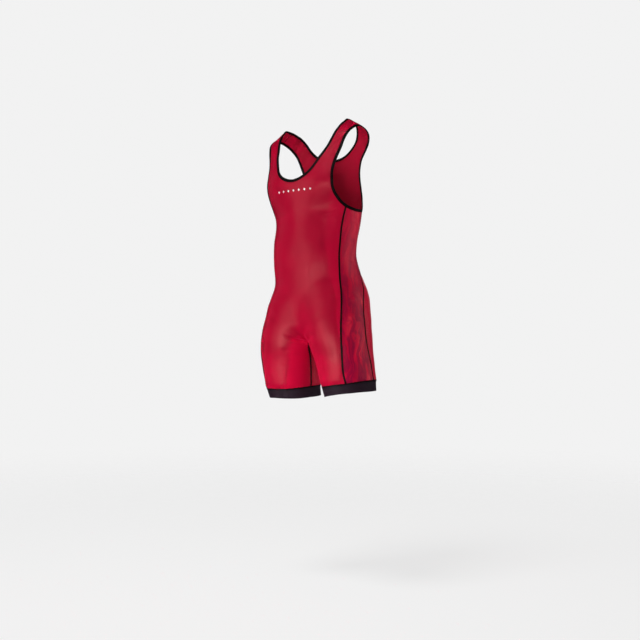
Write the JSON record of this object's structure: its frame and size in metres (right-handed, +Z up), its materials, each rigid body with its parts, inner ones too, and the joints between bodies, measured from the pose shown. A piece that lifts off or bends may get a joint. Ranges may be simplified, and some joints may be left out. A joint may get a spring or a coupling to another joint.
{
  "type": "wrestling singlet",
  "caption": "One-piece stretch wrestling singlet as worn: deep scoop neck, large armholes, contrast side inserts, bound edges and banded legs.",
  "frame": {"origin": "middle of the shoulder line, level with the underside of the straps on top of the shoulders", "axes": "+Z up, front of the hips faces -Y, the wearer's left is +X"},
  "size_m": [0.4226, 0.2872, 0.9466],
  "materials": {
    "crimson_knit": "satin stretch knit",
    "smoke_knit": "satin stretch knit with a printed smoke pattern",
    "charcoal_knit": "matte elastic knit",
    "black_binding": "matte folded binding"
  },
  "bodies": {
    "root": {"front_panel": "crimson_knit", "back_panel": "crimson_knit", "side_panel_left": "smoke_knit", "side_panel_right": "smoke_knit", "leg_band_left": "charcoal_knit", "leg_band_right": "charcoal_knit", "neck_binding": "black_binding", "armhole_binding_left": "black_binding", "armhole_binding_right": "black_binding"}
  },
  "joints": []
}
